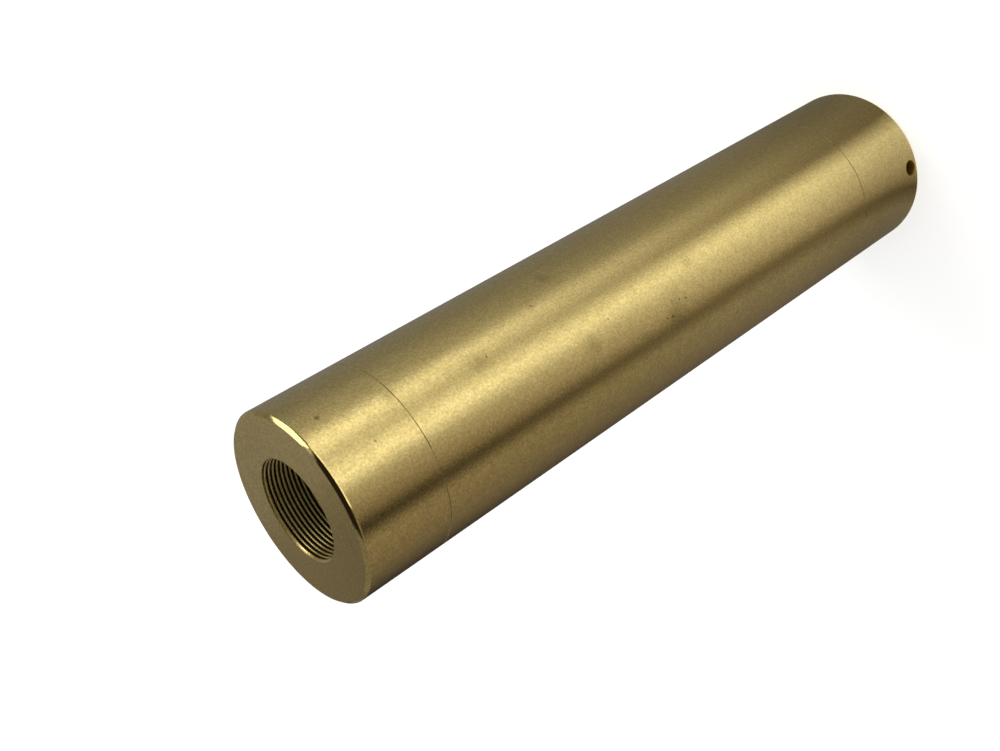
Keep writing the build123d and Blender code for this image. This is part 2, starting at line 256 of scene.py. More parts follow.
def draw_outline(name, outline):
    """Draws a half section through (radius, height) points by extruding one vertex, and stays in edit mode.

    The outline is closed, unless both of its ends are on the axis.
    """
    first_radius, first_height = outline[0]
    bpy.ops.object.select_all(action="DESELECT")
    bpy.ops.mesh.primitive_plane_add(size=MM, location=(first_radius, 0, first_height))
    piece = bpy.context.object
    piece.name = name
    bpy.ops.object.transform_apply()
    bpy.ops.object.mode_set(mode="EDIT")
    bpy.ops.mesh.merge(type="CENTER")
    on_axis = first_radius < TOUCH and outline[-1][0] < TOUCH
    following = outline[1:] if on_axis else outline[1:] + outline[:1]
    for (radius, height), (next_radius, next_height) in zip(outline, following):
        step = (next_radius - radius, 0, next_height - height)
        bpy.ops.mesh.extrude_region_move(TRANSFORM_OT_translate={"value": step})
    bpy.ops.mesh.select_all(action="SELECT")
    bpy.ops.mesh.remove_doubles(threshold=TOUCH)
    return piece


def close_solid():
    """Turns the faces of the mesh in edit mode outwards, and leaves edit mode."""
    bpy.ops.mesh.select_all(action="SELECT")
    bpy.ops.mesh.normals_make_consistent(inside=False)
    bpy.ops.object.mode_set(mode="OBJECT")


def turned(name, outline, steps, angle=tau):
    """A solid turned about the body's axis from a half section."""
    piece = draw_outline(name, outline)
    bpy.ops.mesh.spin(steps=steps, angle=angle, center=(0, 0, 0), axis=(0, 0, 1))
    bpy.ops.mesh.select_all(action="SELECT")
    bpy.ops.mesh.remove_doubles(threshold=TOUCH)
    close_solid()
    return piece


def apply_modifier(piece, kind, **settings):
    """Adds one modifier with its settings and applies it."""
    pick(piece)
    modifier = piece.modifiers.new(kind.title(), kind)
    for setting, value in settings.items():
        setattr(modifier, setting, value)
    bpy.ops.object.modifier_apply(modifier=modifier.name)


def soften(piece, width):
    """Rounds every sharp edge of a piece a little."""
    apply_modifier(piece, "BEVEL", width=width, segments=2, limit_method="ANGLE", angle_limit=SHARP_ANGLE)


def cut(piece, tool):
    """Cuts a tool's form out of a piece and puts the tool away."""
    apply_modifier(piece, "BOOLEAN", operation="DIFFERENCE", solver="EXACT", object=tool)
    bpy.data.objects.remove(tool)


def cut_thread(piece, radius, pitch, low, high, outwards=True, phase=0.0):
    """Cuts a right-handed 60 degree screw thread, outwards into a bore or inwards into a spigot."""
    threads = bpy.context.scene.pointer_threads
    side = 1 if outwards else -1
    depth, crest = threads.depth_ratio * pitch, threads.crest_break
    at_wall = THREAD_HALF_OPENING * pitch
    at_crest = at_wall - crest * tan(THREAD_HALF_ANGLE)
    at_root = at_wall - depth * tan(THREAD_HALF_ANGLE)
    half = [(radius - side * TOOL_OVERLAP, at_wall + crest + TOOL_OVERLAP),
            (radius + side * crest, at_crest), (radius + side * depth, at_root)]
    section = ([(reach, low - width) for reach, width in half]
               + [(reach, low + width) for reach, width in reversed(half)])
    tool = draw_outline("thread_tool", section)
    bpy.ops.object.mode_set(mode="OBJECT")
    apply_modifier(tool, "SCREW", angle=tau, screw_offset=pitch, iterations=ceil((high - low) / pitch),
                   steps=threads.steps, render_steps=threads.steps, axis="Z")
    bpy.ops.object.mode_set(mode="EDIT")
    bpy.ops.mesh.select_all(action="SELECT")
    bpy.ops.mesh.fill_holes(sides=len(section))
    close_solid()
    tool.rotation_euler = (0, 0, phase)
    bpy.ops.object.transform_apply()
    cut(piece, tool)


def dress(piece, slot, material, *nodes):
    """Smooths a piece and gives it its finish, in place of the nodes."""
    pick(piece)
    bpy.ops.object.shade_smooth_by_angle(angle=SHARP_ANGLE)
    piece.data.materials.clear()
    piece.data.materials.append(bpy.data.materials[material])
    if nodes:
        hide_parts(*nodes)


def finish_piece(piece, body, slot, material, *nodes):
    """Dresses a rigid piece, evens its shading, and lets it ride on its body."""
    dress(piece, slot, material, *nodes)
    apply_modifier(piece, "WEIGHTED_NORMAL", keep_sharp=True)
    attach(piece, body)


def arc(centre_radius, centre_height, radius, start, end, points):
    """Points along an arc in a half section, from one angle to another in degrees."""
    angles = [radians(start + (end - start) * i / points) for i in range(points + 1)]
    return [(centre_radius + radius * cos(a), centre_height + radius * sin(a)) for a in angles]


def dome(aperture, depth, top, points):
    """Points of a dome in a half section, from its top on the axis to its edge."""
    sphere = (aperture ** 2 + depth ** 2) / (2 * depth)
    radii = [aperture * i / points for i in range(points + 1)]
    return [(radius, top - sphere + sqrt(sphere ** 2 - radius ** 2)) for radius in radii]


# Shader nodes

def add_node(tree, kind, inputs=None, **settings):
    """Adds a node, sets its own settings, and then its inputs from values or from other sockets."""
    made = tree.nodes.new(kind)
    for setting, value in settings.items():
        setattr(made, setting, value)
    for name, value in (inputs or {}).items():
        if isinstance(value, bpy.types.NodeSocket):
            tree.links.new(value, made.inputs[name])
        else:
            made.inputs[name].default_value = value
    return made


def maths(tree, operation, *values, clamp=False):
    """The result of one sum on values or sockets."""
    return add_node(tree, "ShaderNodeMath", dict(enumerate(values)), operation=operation,
                    use_clamp=clamp).outputs[0]


def weighed(tree, *terms):
    """The sum of some values, each with its weight."""
    total, weight = terms[0]
    total = maths(tree, "MULTIPLY", total, weight)
    for value, weight in terms[1:]:
        total = maths(tree, "ADD", total, maths(tree, "MULTIPLY", value, weight))
    return total


def remap(tree, value, low, high, new_low, new_high):
    """A socket's range, moved to another range and kept inside it."""
    return add_node(tree, "ShaderNodeMapRange", {"Value": value, "From Min": low, "From Max": high,
                                                 "To Min": new_low, "To Max": new_high}).outputs["Result"]


def blend(tree, amount, first, second):
    """A mix of two colours."""
    return add_node(tree, "ShaderNodeMix", {0: amount, 6: first, 7: second}, data_type="RGBA").outputs[2]


def noise(tree, place, scale, detail, roughness=0.5, distortion=0.0):
    """Soft noise in space."""
    return add_node(tree, "ShaderNodeTexNoise", {
        "Vector": place, "Scale": scale, "Detail": detail, "Roughness": roughness,
        "Distortion": distortion}).outputs["Fac"]


def object_place(tree):
    """The place of a point in the part's frame."""
    return add_node(tree, "ShaderNodeTexCoord").outputs["Object"]


def axes_of(tree, place):
    """X, Y and Z of a place."""
    return add_node(tree, "ShaderNodeSeparateXYZ", {0: place}).outputs


def distance(tree, place, kept=(1, 1, 1)):
    """How far a place is from the origin, along the axes that are kept."""
    flat = add_node(tree, "ShaderNodeVectorMath", {0: place, 1: kept}, operation="MULTIPLY").outputs[0]
    return add_node(tree, "ShaderNodeVectorMath", {0: flat}, operation="LENGTH").outputs["Value"]


def opaque(colour, level=1):
    """A colour with its alpha, and darker where the level is less than 1."""
    return (*(level * part for part in colour), 1.0)


def new_group(name, *results, **given):
    """A node group, with the sockets that give its inputs and the ones that take its results.

    An input whose default is a tuple is a vector, and any other is a value.
    """
    tree = bpy.data.node_groups.new(name, "ShaderNodeTree")
    for socket_name, default in given.items():
        kind = "NodeSocketVector" if isinstance(default, tuple) else "NodeSocketFloat"
        socket = tree.interface.new_socket(socket_name.replace("_", " "), in_out="INPUT", socket_type=kind)
        socket.default_value = default
    for socket_name in results:
        tree.interface.new_socket(socket_name, in_out="OUTPUT", socket_type="NodeSocketFloat")
    return tree, tree.nodes.new("NodeGroupInput").outputs, tree.nodes.new("NodeGroupOutput").inputs


def turning_marks_group():
    """Fine broken rings round the axis, on walls and on flat faces alike."""
    tree, given, result = new_group("Turning marks", "Height", "Streak", Spacing=0.0001, Length=0.001)
    place = object_place(tree)
    radius, axes = distance(tree, place, (1, 1, 0)), axes_of(tree, place)
    rings_per_metre = maths(tree, "DIVIDE", 1.0, given["Spacing"])
    breaks_per_metre = maths(tree, "DIVIDE", 1.0, given["Length"])
    for name, coarser, detail in (("Height", 1.0, 2.0), ("Streak", 0.3, 4.0)):
        scale = maths(tree, "MULTIPLY", rings_per_metre, coarser)
        round_scale = maths(tree, "MULTIPLY", breaks_per_metre, coarser)
        across = maths(tree, "MULTIPLY_ADD", radius, scale, maths(tree, "MULTIPLY", axes["X"], round_scale))
        around = maths(tree, "MULTIPLY", axes["Y"], round_scale)
        along = maths(tree, "MULTIPLY", axes["Z"], scale)
        vector = add_node(tree, "ShaderNodeCombineXYZ", {"X": across, "Y": around, "Z": along}).outputs[0]
        tree.links.new(noise(tree, vector, 1.0, detail, 0.6), result[name])


def patches_group():
    """Soft uneven patches, as handling leaves on bare metal."""
    tree, given, result = new_group("Patches", "Mask", Size=0.001)
    uneven = noise(tree, object_place(tree), maths(tree, "DIVIDE", 1.0, given["Size"]), 5.0, 0.62, 0.3)
    tree.links.new(remap(tree, uneven, 0.32, 0.68, 0.0, 1.0), result["Mask"])


def nick_group():
    """A small dent at one place, with a ragged edge."""
    tree, given, result = new_group("Nick", "Mask", Place=(0, 0, 0), Size=0.0003)
    place, grains_per_metre = object_place(tree), 5200.0
    away = add_node(tree, "ShaderNodeVectorMath", {0: place, 1: given["Place"]},
                    operation="DISTANCE").outputs["Value"]
    ragged = remap(tree, noise(tree, place, grains_per_metre, 1.0), 0.3, 0.7, 0.7, 1.5)
    near = maths(tree, "DIVIDE", maths(tree, "MULTIPLY", away, ragged), given["Size"])
    tree.links.new(maths(tree, "SUBTRACT", 1.0, near, clamp=True), result["Mask"])


def seam_dirt_group():
    """Dirt along a seam at one height, broken up a little."""
    tree, given, result = new_group("Seam dirt", "Mask", Height=0.0, Width=0.0001)
    place, breaks_per_metre = object_place(tree), 450.0
    above = maths(tree, "SUBTRACT", axes_of(tree, place)["Z"], given["Height"])
    away = maths(tree, "DIVIDE", maths(tree, "ABSOLUTE", above), given["Width"])
    breaks = remap(tree, noise(tree, place, breaks_per_metre, 3.0), 0.38, 0.55, 0.65, 1.0)
    near = remap(tree, away, 0.5, 1.0, 1.0, 0.0)
    tree.links.new(maths(tree, "MULTIPLY", near, breaks), result["Mask"])


def hole_shade_group():
    """Painted shade on the wall of a cross hole that is drilled from the -Y side, which is made dark brown and
    dull.
    """
    tree, given, result = new_group("Hole painted shade", "Mask", Height=0.002, Radius=0.001)
    place, just_past_wall = object_place(tree), 1.01
    middle = add_node(tree, "ShaderNodeCombineXYZ", {"Z": given["Height"]}).outputs[0]
    across = add_node(tree, "ShaderNodeVectorMath", {0: place, 1: middle}, operation="SUBTRACT").outputs[0]
    reach = maths(tree, "MULTIPLY", given["Radius"], just_past_wall)
    within = maths(tree, "LESS_THAN", distance(tree, across, (1, 0, 1)), reach)
    drilled_side = maths(tree, "LESS_THAN", axes_of(tree, place)["Y"], 0.0)
    tree.links.new(maths(tree, "MULTIPLY", within, drilled_side), result["Mask"])


def root_dirt_and_shade_group():
    """Dirt and painted shade in the roots of a thread in a bore: the roots go near black, and the crests are
    painted darker the deeper they lie, which leaves the first crests bright.
    """
    tree, given, result = new_group("Root dirt and painted shade", "Mask", Crest=0.005, Depth=0.0002, Bottom=0.09, Top=0.1,
                                    Crest_dirt=0.3)
    deepest_crest_dirt_and_shade = 0.85
    crest_end, root_start, past_root = 0.06, 0.5, 1.3  # as shares of the thread's depth
    place = object_place(tree)
    height = axes_of(tree, place)["Z"]
    past_crest = maths(tree, "SUBTRACT", distance(tree, place, (1, 1, 0)), given["Crest"])
    deep = maths(tree, "DIVIDE", past_crest, given["Depth"])
    # Painted shade: the crests are darker the deeper they lie in the bore
    crest = remap(tree, height, given["Bottom"], given["Top"], deepest_crest_dirt_and_shade, given["Crest dirt"])
    dirt_and_shade = remap(tree, deep, crest_end, root_start, crest, 1.0)
    for within in (maths(tree, "LESS_THAN", deep, past_root), maths(tree, "LESS_THAN", height, given["Top"]),
                   maths(tree, "GREATER_THAN", height, given["Bottom"])):
        dirt_and_shade = maths(tree, "MULTIPLY", dirt_and_shade, within)
    tree.links.new(dirt_and_shade, result["Mask"])


def rim_group():
    """The 45 degree chamfers round the two ends of the body, which the tool left smoother."""
    tree, given, result = new_group("Rims", "Mask", Radius=0.011, Length=0.1, Chamfer=0.0004)
    chamfer_end, wall_start = 1.2, 1.32  # how far from the uncut corner, in chamfers
    place = object_place(tree)
    half = maths(tree, "MULTIPLY", given["Length"], 0.5)
    from_middle = maths(tree, "ABSOLUTE", maths(tree, "SUBTRACT", axes_of(tree, place)["Z"], half))
    corner = maths(tree, "ADD", given["Radius"], half)
    point = maths(tree, "ADD", distance(tree, place, (1, 1, 0)), from_middle)
    from_corner = maths(tree, "DIVIDE", maths(tree, "SUBTRACT", corner, point), given["Chamfer"])
    tree.links.new(remap(tree, from_corner, chamfer_end, wall_start, 1.0, 0.0), result["Mask"])


def place_group(tree, name, **inputs):
    """Puts a node group in a material, with that material's own values."""
    made = add_node(tree, "ShaderNodeGroup", node_tree=bpy.data.node_groups[name])
    for socket, value in inputs.items():
        made.inputs[socket.replace("_", " ")].default_value = value
    return made.outputs


def new_material(name, metallic=0.0, roughness=0.5, **values):
    """A material's tree and its Principled shader, with the values that are the same all over."""
    material = bpy.data.materials.new(name)
    material.use_nodes = True
    shader = material.node_tree.nodes["Principled BSDF"]
    for socket, value in {"Metallic": metallic, "Roughness": roughness, **values}.items():
        shader.inputs[socket.replace("_", " ")].default_value = value
    return material.node_tree, shader


def new_turned_material(name, roughness, stretch, **values):
    """The same of a bare metal, whose highlights stretch along its turning marks."""
    tree, shader = new_material(name, 1.0, roughness, Anisotropic=stretch, Anisotropic_Rotation=0.25, **values)
    around = add_node(tree, "ShaderNodeTangent", direction_type="RADIAL", axis="Z")
    drive(shader, Tangent=around.outputs["Tangent"])
    return tree, shader


def drive(shader, **sockets):
    """Links inputs of a shader to what changes over the surface."""
    for name, socket in sockets.items():
        shader.id_data.links.new(socket, shader.inputs[name.replace("_", " ")])


def raise_surface(shader, height, depth, strength):
    """Drives a shader's normal with a Bump node."""
    bump = add_node(shader.id_data, "ShaderNodeBump", {"Height": height, "Distance": depth,
                                                       "Strength": strength})
    drive(shader, Normal=bump.outputs["Normal"])


# Angle round the axis in degrees, height in millimetres and size in millimetres of each nick
NICKS = (
    (-30.0, 95.5, 0.42), (-36.6, 67.9, 0.30), (-49.5, 76.7, 0.20), (-57.2, 92.5, 0.18),
    (-67.3, 61.1, 0.18), (-79.4, 50.6, 0.24), (-86.6, 52.4, 0.26), (105.0, 70.0, 0.30),
    (160.0, 34.0, 0.24), (-81.0, 49.6, 0.22), (-85.8, 53.3, 0.16),
)

# The same of each smudge
SMUDGES = (
    (-49.6, 77.8, 1.9), (-84.8, 51.6, 2.3), (-75.0, 64.6, 1.8), (-62.9, 46.8, 1.1),
    (-24.0, 63.6, 1.2), (-40.0, 88.4, 1.3), (118.0, 58.0, 2.2), (35.0, 27.0, 1.6),
)


def dents(tree, places):
    """One mask over all the nicks or smudges of a list."""
    total = 0.0
    for angle, up, size in places:
        where = (CAP_HIGH.x * cos(radians(angle)), CAP_HIGH.x * sin(radians(angle)), up * MM)
        total = maths(tree, "ADD", place_group(tree, "Nick", Place=where, Size=size * MM)["Mask"], total)
    return total


def brass_dirt_and_shade(tree, finish):
    """Masks of the seams' dirt, the thread roots' dirt and painted shade, and the cross hole's painted shade,
    all together, and of the cross hole's painted shade alone.
    """
    body, threads = bpy.context.scene.pointer_body, bpy.context.scene.pointer_threads
    clean_edge = 1.5 * body.mouth_chamfer
    dirt_and_shade = place_group(tree, "Root dirt and painted shade", Crest=body.mouth_radius, Crest_dirt=finish.crest_dirt_and_shade,
                       Depth=threads.depth_ratio * threads.mouth_pitch,
                       Bottom=CAP_HIGH.z - body.mouth_length - threads.mouth_pitch,
                       Top=CAP_HIGH.z - clean_edge)["Mask"]
    hole = place_group(tree, "Hole painted shade", Height=body.hole_height,
                       Radius=body.hole_radius + body.hole_flare)["Mask"]
    masks = [(hole, finish.hole_shade_strength)]
    for seam in (TUBE_LOW.z, TUBE_HIGH.z):
        line = place_group(tree, "Seam dirt", Height=seam, Width=finish.seam_grime)["Mask"]
        masks.append((line, finish.seam_strength))
    for mask, strength in masks:
        dirt_and_shade = maths(tree, "MAXIMUM", dirt_and_shade, maths(tree, "MULTIPLY", mask, strength))
    return dirt_and_shade, hole


def brass(name, roughness, stretch, patch_strength, outside=False):
    """Turned brass with fine marks and faint patches, and with nicks, dirt and painted shade where it is
    outside.
    """
    finish = bpy.context.scene.pointer_finish
    worn, pit = opaque(finish.tarnish, 0.4), opaque(finish.tarnish, 0.2)
    tree, shader = new_turned_material(name, roughness, stretch, Specular_IOR_Level=0.0)
    marks = place_group(tree, "Turning marks", Spacing=finish.marks_spacing, Length=finish.marks_length)
    patch = place_group(tree, "Patches", Size=finish.patch_size)["Mask"]
    grain = place_group(tree, "Patches", Size=finish.grain_size)["Mask"]
    streak = remap(tree, marks["Streak"], 0.3, 0.7, 0.0, 1.0)
    uneven = weighed(tree, (streak, 0.2), (patch, 0.6), (grain, 0.2))
    height = weighed(tree, (marks["Height"], 0.4), (grain, 0.2))
    colour = blend(tree, maths(tree, "MULTIPLY", uneven, patch_strength), opaque(finish.brass),
                   opaque(finish.tarnish))
    colour = blend(tree, maths(tree, "MULTIPLY", grain, finish.grain_strength), colour, worn)
    gloss = remap(tree, uneven, 0.0, 1.0, roughness - 0.05, roughness + 0.07)
    if outside:
        pitted, smudged = dents(tree, NICKS), dents(tree, SMUDGES)
        colour = blend(tree, maths(tree, "MULTIPLY", smudged, finish.smudge_strength), colour, worn)
        colour = blend(tree, maths(tree, "MULTIPLY", pitted, finish.nick_strength, clamp=True), colour, pit)
        height = maths(tree, "SUBTRACT", height, pitted)
        dirt_and_shade, hole = brass_dirt_and_shade(tree, finish)
        # Seams get dirt; thread roots and the cross hole get painted shade
        colour = blend(tree, dirt_and_shade, colour, opaque(finish.grime))
        # Painted shade: the cross hole's wall turns dark brown
        colour = blend(tree, hole, colour, opaque(finish.hole_shade_colour))
        body, dirt_roughness = bpy.context.scene.pointer_body, 0.6
        rims = place_group(tree, "Rims", Radius=CAP_HIGH.x, Length=CAP_HIGH.z,
                           Chamfer=body.rim_chamfer)["Mask"]
        dull = maths(tree, "SUBTRACT", 1.0, maths(tree, "MULTIPLY", rims, finish.rim_polish))
        gloss = maths(tree, "MAXIMUM", maths(tree, "MULTIPLY", gloss, dull),
                      maths(tree, "MULTIPLY", dirt_and_shade, dirt_roughness))
        drive(shader, Metallic=maths(tree, "SUBTRACT", 1.0, dirt_and_shade, clamp=True))
        height = maths(tree, "MULTIPLY", height, dull)
    drive(shader, Base_Color=colour, Roughness=gloss)
    raise_surface(shader, height, finish.marks_depth, 1.0)


def grained(name, colour, other_colour, roughness, grain_size, bump, **values):
    """A plain moulded, pressed or drawn surface: two close tones, a fine grain and an uneven gloss.

    The size of the grain and the depth of its bump are in millimetres.
    """
    tree, shader = new_material(name, roughness=roughness, **values)
    patch = place_group(tree, "Patches", Size=grain_size * MM * 8)["Mask"]
    grain = place_group(tree, "Patches", Size=grain_size * MM)["Mask"]
    drive(shader, Base_Color=blend(tree, patch, opaque(colour), opaque(other_colour)),
          Roughness=remap(tree, grain, 0.0, 1.0, roughness - 0.04, roughness + 0.08))
    raise_surface(shader, grain, bump * MM, 0.4)


def turned_aluminium(colour, other_colour, roughness, stretch):
    """Bare turned metal other than the brass."""
    tree, shader = new_turned_material("Turned aluminium", roughness, stretch)
    spacing = 0.14 * MM
    marks = place_group(tree, "Turning marks", Spacing=spacing, Length=8 * spacing)
    patch = place_group(tree, "Patches", Size=1.2 * MM)["Mask"]
    drive(shader, Base_Color=blend(tree, patch, opaque(colour), opaque(other_colour)),
          Roughness=remap(tree, marks["Streak"], 0.3, 0.7, roughness - 0.05, roughness + 0.06))
    raise_surface(shader, marks["Height"], 0.004 * MM, 0.4)


def circuit_board(colour):
    """Solder mask with a faint weave and copper runs under it."""
    tree, shader = new_material("Circuit board", roughness=0.32)
    runs = add_node(tree, "ShaderNodeTexBrick", {
        "Vector": object_place(tree), "Color1": (1, 1, 1, 1), "Color2": (0.8, 0.8, 0.8, 1),
        "Mortar": (0, 0, 0, 1), "Scale": 520.0, "Mortar Size": 0.03}).outputs["Color"]
    weave = place_group(tree, "Patches", Size=0.25 * MM)["Mask"]
    lighter = opaque([min(1.0, part * 1.7 + 0.01) for part in colour])
    drive(shader, Base_Color=blend(tree, maths(tree, "MULTIPLY", runs, 0.45), lighter, opaque(colour)))
    raise_surface(shader, maths(tree, "ADD", runs, weave), 0.01 * MM, 0.35)


def coated_glass():
    """Glass with a faint uneven bloom in its coating."""
    tree, shader = new_material("Coated glass", roughness=0.02, Transmission_Weight=1.0, IOR=1.52,
                                Coat_Weight=0.6, Coat_Roughness=0.03, Coat_Tint=(0.55, 0.75, 1, 1))
    bloom = place_group(tree, "Patches", Size=1.5 * MM)["Mask"]
    drive(shader, Base_Color=blend(tree, bloom, (0.93, 0.97, 1.0, 1.0), (0.86, 0.93, 1.0, 1.0)))


# The record's slots, and the finish that the frame's own nodes wear in each
FINISHES = {
    "turned_brass": "Satin brass",
    "inner_brass": "Machined brass",
    "black_rubber": "Seal rubber",
    "white_plastic": "Turned white plastic",
    "black_plastic": "Moulded black plastic",
    "green_board": "Circuit board",
    "spring_steel": "Drawn wire",
    "cell_sleeve": "Shrunk sleeve",
    "tan_ceramic": "Capacitor ceramic",
    "red_insulation": "Red insulation",
    "black_insulation": "Black insulation",
    "bare_aluminium": "Turned aluminium",
    "diode_metal": "Gold plating",
    "lens_glass": "Coated glass",
}


class POINTER_OT_finishes(bpy.types.Operator):
    """Makes every finish and puts it on the frame's nodes"""

    bl_idname = "pointer.finishes"
    bl_label = "Finishes"

    def execute(self, context):
        finish = context.scene.pointer_finish
        for make_group in (turning_marks_group, patches_group, nick_group, seam_dirt_group,
                           hole_shade_group, root_dirt_and_shade_group, rim_group):
            make_group()
        roughness, stretch = finish.brass_roughness, finish.brass_stretch
        brass("Satin brass", roughness, stretch, patch_strength=0.62, outside=True)
        brass("Machined brass", roughness - 0.06, stretch, patch_strength=0.45)
        turned_aluminium(finish.aluminium, (0.70, 0.71, 0.72), roughness=0.32, stretch=0.6)
        circuit_board(finish.board)
        coated_glass()
        grained("Seal rubber", finish.rubber, (0.035, 0.035, 0.036), 0.62, 0.12, 0.01)
        grained("Turned white plastic", (0.80, 0.79, 0.74), (0.74, 0.73, 0.68), 0.45, 0.15, 0.006)
        grained("Moulded black plastic", (0.03, 0.03, 0.032), (0.045, 0.045, 0.046), 0.42, 0.1, 0.008)
        grained("Drawn wire", finish.steel, (0.50, 0.49, 0.48), 0.26, 0.2, 0.004, metallic=1.0)
        grained("Shrunk sleeve", finish.sleeve, (0.13, 0.165, 0.21), 0.28, 0.5, 0.02,
                Coat_Weight=0.3, Coat_Roughness=0.12)
        grained("Capacitor ceramic", (0.42, 0.29, 0.16), (0.36, 0.24, 0.13), 0.5, 0.1, 0.004)
        grained("Red insulation", (0.50, 0.022, 0.015), (0.43, 0.018, 0.012), 0.35, 0.2, 0.004)
        grained("Black insulation", (0.02, 0.02, 0.021), (0.03, 0.03, 0.03), 0.35, 0.2, 0.004)
        grained("Gold plating", finish.gold, (0.80, 0.61, 0.29), 0.22, 0.15, 0.003, metallic=1.0)
        grained("Tinned steel", (0.70, 0.69, 0.67), (0.62, 0.61, 0.59), 0.3, 0.3, 0.006, metallic=1.0)
        grained("Insulating paper", (0.78, 0.76, 0.68), (0.70, 0.68, 0.60), 0.7, 0.1, 0.01)
        grained("Dark window", (0.012, 0.012, 0.02), (0.02, 0.015, 0.03), 0.08, 0.3, 0.0005)
        for part in frame["record"]["subparts"]:
            for slot in frame["nodes"][part["node"]].material_slots:
                slot.material = bpy.data.materials[FINISHES[part["material_slot"]]]
        return {"FINISHED"}


class POINTER_OT_front_cap(bpy.types.Operator):
    """Turns the front cap and cuts the threads of its mouth and spigot"""

    bl_idname = "pointer.front_cap"
    bl_label = "Front cap"

    def execute(self, context):
        body, threads = context.scene.pointer_body, context.scene.pointer_threads
        outer, low, high, seam = CAP_HIGH.x, CAP_LOW.z, CAP_HIGH.z, TUBE_HIGH.z
        mouth, spigot, mouth_end = body.mouth_radius, body.spigot_radius, high - body.mouth_length
        # The rounding runs from the 45 degree chamfer into the wall, and touches both
        rounding = body.rim_rounding
        rounding_height = high - body.rim_chamfer - rounding * tan(radians(45 / 2))
        piece = turned("front_cap_threaded", [
            (mouth, high - body.mouth_chamfer), (mouth + body.mouth_chamfer, high),
            (outer - body.rim_chamfer, high), *arc(outer - rounding, rounding_height, rounding, 45, 0, 6),
            (outer, seam + body.seam_break), (outer - body.seam_break, seam),
            (spigot, seam), (spigot, low + body.lead_chamfer), (spigot - body.lead_chamfer, low),
            (body.nose_radius, low), (body.nose_radius, mouth_end), (mouth, mouth_end)], body.lathe_steps)
        soften(piece, body.edge_softness)
        turns_to_face = body.mouth_length / threads.mouth_pitch
        cut_thread(piece, mouth, threads.mouth_pitch, mouth_end, high + threads.mouth_pitch,
                   phase=threads.mouth_exit - tau * turns_to_face)
        cut_thread(piece, spigot, threads.joint_pitch, low, seam - threads.joint_pitch, outwards=False)
        finish_piece(piece, "front", "turned_brass", "Satin brass", "front_cap")
        return {"FINISHED"}


class POINTER_OT_battery_tube(bpy.types.Operator):
    """Turns the long tube and threads its two sockets"""

    bl_idname = "pointer.battery_tube"
    bl_label = "Battery tube"

    def execute(self, context):
        body, pitch = context.scene.pointer_body, context.scene.pointer_threads.joint_pitch
        outer, low, high, seam = TUBE_HIGH.x, TUBE_LOW.z, TUBE_HIGH.z, body.seam_break
        socket, bore, ledge = body.socket_radius, body.bore_radius, body.bore_radius - body.ledge_width
        front_socket, tail_socket = HEATSINK_HIGH.z, TAIL_HIGH.z + body.socket_relief
        ledge_top, ledge_bottom = BOARD_LOW.z, BOARD_LOW.z - body.ledge_thickness
        piece = turned("battery_tube_turned", [
            (outer - seam, low), (outer, low + seam), (outer, high - seam), (outer - seam, high),
            (socket, high), (socket, front_socket), (bore, front_socket), (bore, ledge_top),
            (ledge, ledge_top), (ledge, ledge_bottom), (bore, ledge_bottom), (bore, tail_socket),
            (socket, tail_socket), (socket, low)], body.lathe_steps)
        soften(piece, body.edge_softness)
        cut_thread(piece, socket, pitch, front_socket + pitch, high + pitch)
        cut_thread(piece, socket, pitch, low - pitch, tail_socket - pitch)
        finish_piece(piece, "barrel", "turned_brass", "Satin brass", "battery_tube")
        return {"FINISHED"}


class POINTER_OT_tail_cap(bpy.types.Operator):
    """Turns the tail cap, drills its lanyard hole and moulds the seal on its spigot"""

    bl_idname = "pointer.tail_cap"
    bl_label = "Tail cap"

    def execute(self, context):
        body, pitch = context.scene.pointer_body, context.scene.pointer_threads.joint_pitch
        outer, low, high, seam = TAIL_HIGH.x, TAIL_LOW.z, TAIL_HIGH.z, TUBE_LOW.z
        spigot, floor = body.spigot_radius, body.groove_radius
        groove_low, groove_high = SEAL_LOW.z - body.groove_clearance, SEAL_HIGH.z + body.groove_clearance
        recess, web_top = body.recess_radius, body.recess_depth + body.web_thickness
        piece = turned("tail_cap_drilled", [
            (recess, low), (outer - body.rim_chamfer, low), (outer, low + body.rim_chamfer),
            (outer, seam - body.seam_break), (outer - body.seam_break, seam), (spigot, seam),
            (spigot, groove_low), (floor, groove_low), (floor, groove_high), (spigot, groove_high),
            (spigot, high - body.lead_chamfer), (spigot - body.lead_chamfer, high),
            (body.switch_bore_radius, high), (body.switch_bore_radius, web_top),
            (body.button_hole_radius, web_top), (body.button_hole_radius, body.recess_depth),
            (recess, body.recess_depth)], body.lathe_steps)
        soften(piece, body.edge_softness)
        hole, wide = body.hole_radius, body.hole_radius + body.hole_flare
        drill = turned("lanyard_drill", [
            (0, recess - hole), (hole, recess - hole), (hole, outer - body.hole_flare), (wide, outer),
            (wide, outer + wide), (0, outer + wide)], steps=64)
        drill.rotation_euler = (radians(90), 0, 0)
        drill.location = (0, 0, body.hole_height)
        bpy.ops.object.transform_apply()
        cut(piece, drill)
        cut_thread(piece, spigot, pitch, groove_high + pitch, high + pitch, outwards=False)
        finish_piece(piece, "tail", "turned_brass", "Satin brass", "tail_cap")

        inner, bulge = floor + body.groove_clearance, (SEAL_HIGH.z - SEAL_LOW.z) / 2
        seal = turned("tail_seal_moulded", [
            (inner, SEAL_LOW.z), *arc(SEAL_HIGH.x - bulge, SEAL_LOW.z + bulge, bulge, -90, 90, 10),
            (inner, SEAL_HIGH.z)], body.lathe_steps // 2)
        finish_piece(seal, "tail", "black_rubber", "Seal rubber", "tail_seal")
        return {"FINISHED"}


